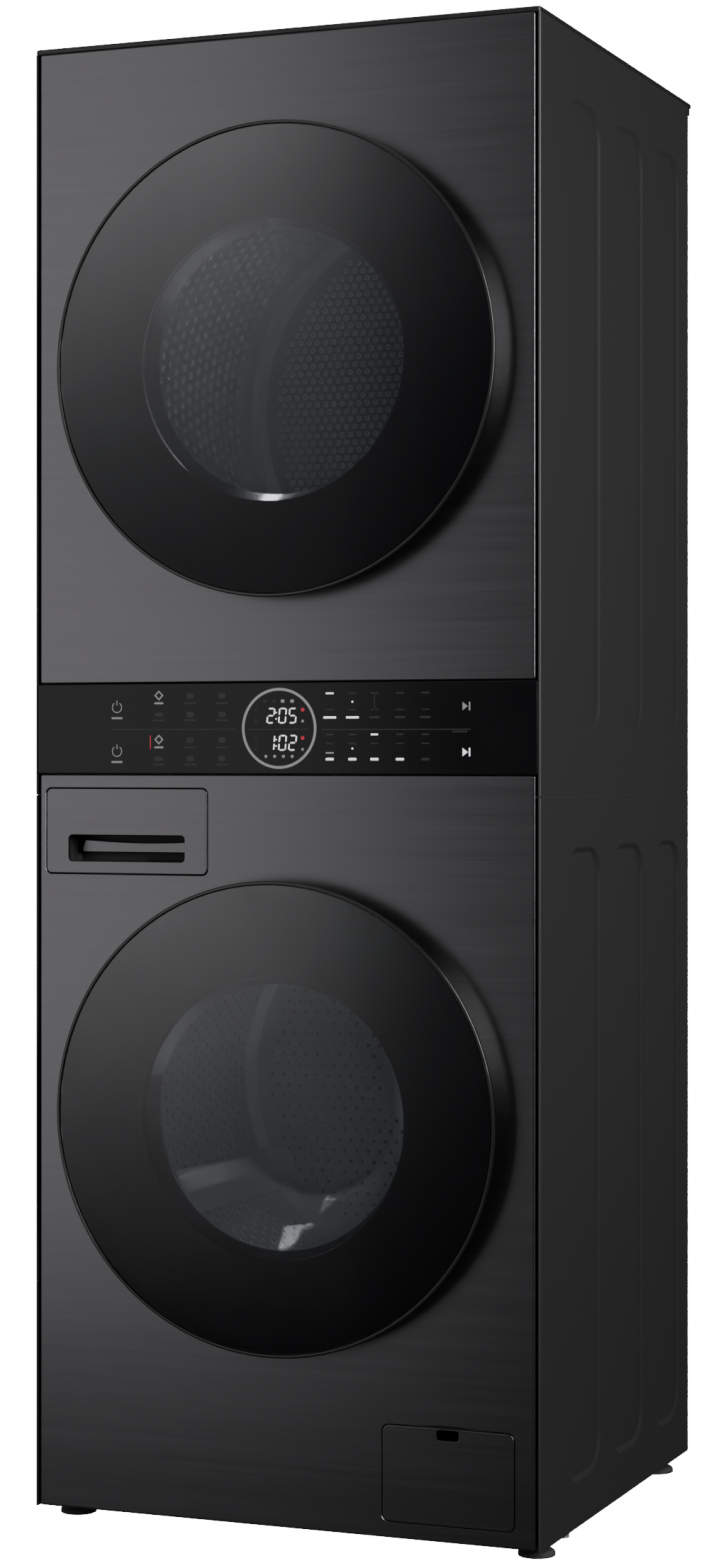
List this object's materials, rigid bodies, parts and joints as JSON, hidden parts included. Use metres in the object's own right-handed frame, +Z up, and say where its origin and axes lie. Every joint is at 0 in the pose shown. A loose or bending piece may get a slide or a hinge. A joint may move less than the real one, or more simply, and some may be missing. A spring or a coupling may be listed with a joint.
{
  "type": "stacked washer and dryer",
  "caption": "Slim stacked laundry tower: a front-loading washer below a dryer, round glass doors hinged at the left, a touch control band between them and a detergent drawer.",
  "frame": {"origin": "on the floor, at the middle of the whole body's plan", "axes": "+Z up, the doors face -Y, +X to the right of a person who faces the doors"},
  "size_m": [0.6, 0.66, 1.655],
  "materials": {
    "front_steel": "fine horizontal brushed, black",
    "side_steel": "satin black",
    "lid": "matt black",
    "control_glass": "high gloss black",
    "door_gloss": "gloss black",
    "door_glass": "smoked clear",
    "bowl_glass": "clear",
    "gasket": "matt grey",
    "drum_steel": "satin",
    "galvanised": "zinc coated",
    "tub_plastic": "moulded",
    "light_plastic": "moulded",
    "dark_plastic": "moulded",
    "foot_rubber": "matt",
    "weight_iron": "cast",
    "winding": "wound",
    "motor_metal": "cast",
    "spring_steel": "plain"
  },
  "bodies": {
    "cabinet": {"base_pan": "galvanised", "washer_left_side": "side_steel", "washer_right_side": "side_steel", "washer_rear_panel": "galvanised", "washer_front_panel": "front_steel", "tub_front_half": "tub_plastic", "tub_rear_half": "tub_plastic", "tub_counterweight": "weight_iron", "drum_bearing": "spring_steel", "motor_stator": "winding", "tub_spring_left": "spring_steel", "tub_spring_right": "spring_steel", "tub_damper_left": "dark_plastic", "tub_damper_right": "dark_plastic", "washer_door_gasket": "gasket", "drain_pump": "dark_plastic", "dispenser_housing": "light_plastic", "water_inlet_valve": "light_plastic", "washer_hinge_bracket": "galvanised", "control_panel": "control_glass", "dryer_left_side": "side_steel", "dryer_right_side": "side_steel", "dryer_rear_panel": "galvanised", "dryer_front_panel": "front_steel", "top_cover": "lid", "dryer_base": "galvanised", "dryer_front_bulkhead": "galvanised", "dryer_rear_bulkhead": "galvanised", "drum_belt": "foot_rubber", "dryer_motor": "motor_metal", "heat_pump_module": "tub_plastic", "dryer_hinge_bracket": "galvanised"},
    "washer_door": {"washer_door_frame": "door_gloss", "washer_door_cover": "door_glass", "washer_door_bowl": "bowl_glass", "washer_door_hinge": "galvanised"},
    "dryer_door": {"dryer_door_frame": "door_gloss", "dryer_door_cover": "door_glass", "dryer_door_window": "bowl_glass", "dryer_door_hinge": "galvanised"},
    "washer_basket": {"washer_drum": "drum_steel", "washer_baffle_1": "light_plastic", "washer_baffle_2": "light_plastic", "washer_baffle_3": "light_plastic", "drum_spider": "motor_metal", "motor_rotor": "galvanised"},
    "dryer_basket": {"dryer_drum": "drum_steel"},
    "blower_rotor": {"motor_pulley": "spring_steel", "blower_fan": "dark_plastic"},
    "roller_left": {"drum_roller_left": "foot_rubber"},
    "roller_right": {"drum_roller_right": "foot_rubber"},
    "drawer": {"detergent_drawer": "light_plastic", "detergent_drawer_front": "front_steel"},
    "service_door": {"filter_door": "front_steel"},
    "pump_cap": {"drain_filter_cap": "light_plastic"},
    "lint_screen": {"lint_filter": "light_plastic"},
    "foot_front_left": {"leveling_foot_front_left": "foot_rubber"},
    "foot_front_right": {"leveling_foot_front_right": "foot_rubber"},
    "foot_rear_left": {"leveling_foot_rear_left": "foot_rubber"},
    "foot_rear_right": {"leveling_foot_rear_right": "foot_rubber"}
  },
  "joints": [
    {"name": "washer_door_swing", "type": "hinge", "parent": "cabinet", "child": "washer_door", "pos_m": [-0.245, -0.318, 0.4665], "axis": [0, 0, -1], "range_deg": [0, 110]},
    {"name": "dryer_door_swing", "type": "hinge", "parent": "cabinet", "child": "dryer_door", "pos_m": [-0.245, -0.318, 1.2915], "axis": [0, 0, -1], "range_deg": [0, 110]},
    {"name": "washer_drum_spin", "type": "hinge", "parent": "cabinet", "child": "washer_basket", "pos_m": [0, 0, 0.4665], "axis": [0, 1, 0], "continuous": true},
    {"name": "dryer_drum_spin", "type": "hinge", "parent": "cabinet", "child": "dryer_basket", "pos_m": [0, 0, 1.2915], "axis": [0, 1, 0], "continuous": true},
    {"name": "blower_spin", "type": "hinge", "parent": "cabinet", "child": "blower_rotor", "pos_m": [0.17, 0.1, 0.955], "axis": [0, 1, 0], "continuous": true},
    {"name": "roller_left_spin", "type": "hinge", "parent": "cabinet", "child": "roller_left", "pos_m": [-0.15, 0.19, 1.04296], "axis": [0, 1, 0], "continuous": true},
    {"name": "roller_right_spin", "type": "hinge", "parent": "cabinet", "child": "roller_right", "pos_m": [0.15, 0.19, 1.04296], "axis": [0, 1, 0], "continuous": true},
    {"name": "drawer_slide", "type": "slide", "parent": "cabinet", "child": "drawer", "axis": [0, -1, 0], "range_m": [0, 0.2]},
    {"name": "service_door_tip", "type": "hinge", "parent": "cabinet", "child": "service_door", "pos_m": [0.19475, -0.2996, 0.0375], "axis": [1, 0, 0], "range_deg": [0, 95]},
    {"name": "pump_cap_twist", "type": "hinge", "parent": "cabinet", "child": "pump_cap", "pos_m": [0.195, -0.27, 0.085], "axis": [0, 1, 0], "range_deg": [0, 90]},
    {"name": "lint_screen_lift", "type": "slide", "parent": "cabinet", "child": "lint_screen", "axis": [0, 0, 1], "range_m": [0, 0.1]},
    {"name": "foot_front_left_turn", "type": "hinge", "parent": "cabinet", "child": "foot_front_left", "pos_m": [-0.275, -0.2405, 0], "axis": [0, 0, 1], "continuous": true},
    {"name": "foot_front_right_turn", "type": "hinge", "parent": "cabinet", "child": "foot_front_right", "pos_m": [0.275, -0.2405, 0], "axis": [0, 0, 1], "continuous": true},
    {"name": "foot_rear_left_turn", "type": "hinge", "parent": "cabinet", "child": "foot_rear_left", "pos_m": [-0.275, 0.205, 0], "axis": [0, 0, 1], "continuous": true},
    {"name": "foot_rear_right_turn", "type": "hinge", "parent": "cabinet", "child": "foot_rear_right", "pos_m": [0.275, 0.205, 0], "axis": [0, 0, 1], "continuous": true}
  ],
  "couplings": [
    {"joint": "blower_spin", "follows": "dryer_drum_spin", "ratio": 13.378},
    {"joint": "roller_left_spin", "follows": "dryer_drum_spin", "ratio": -8.6667},
    {"joint": "roller_right_spin", "follows": "dryer_drum_spin", "ratio": -8.6667}
  ]
}
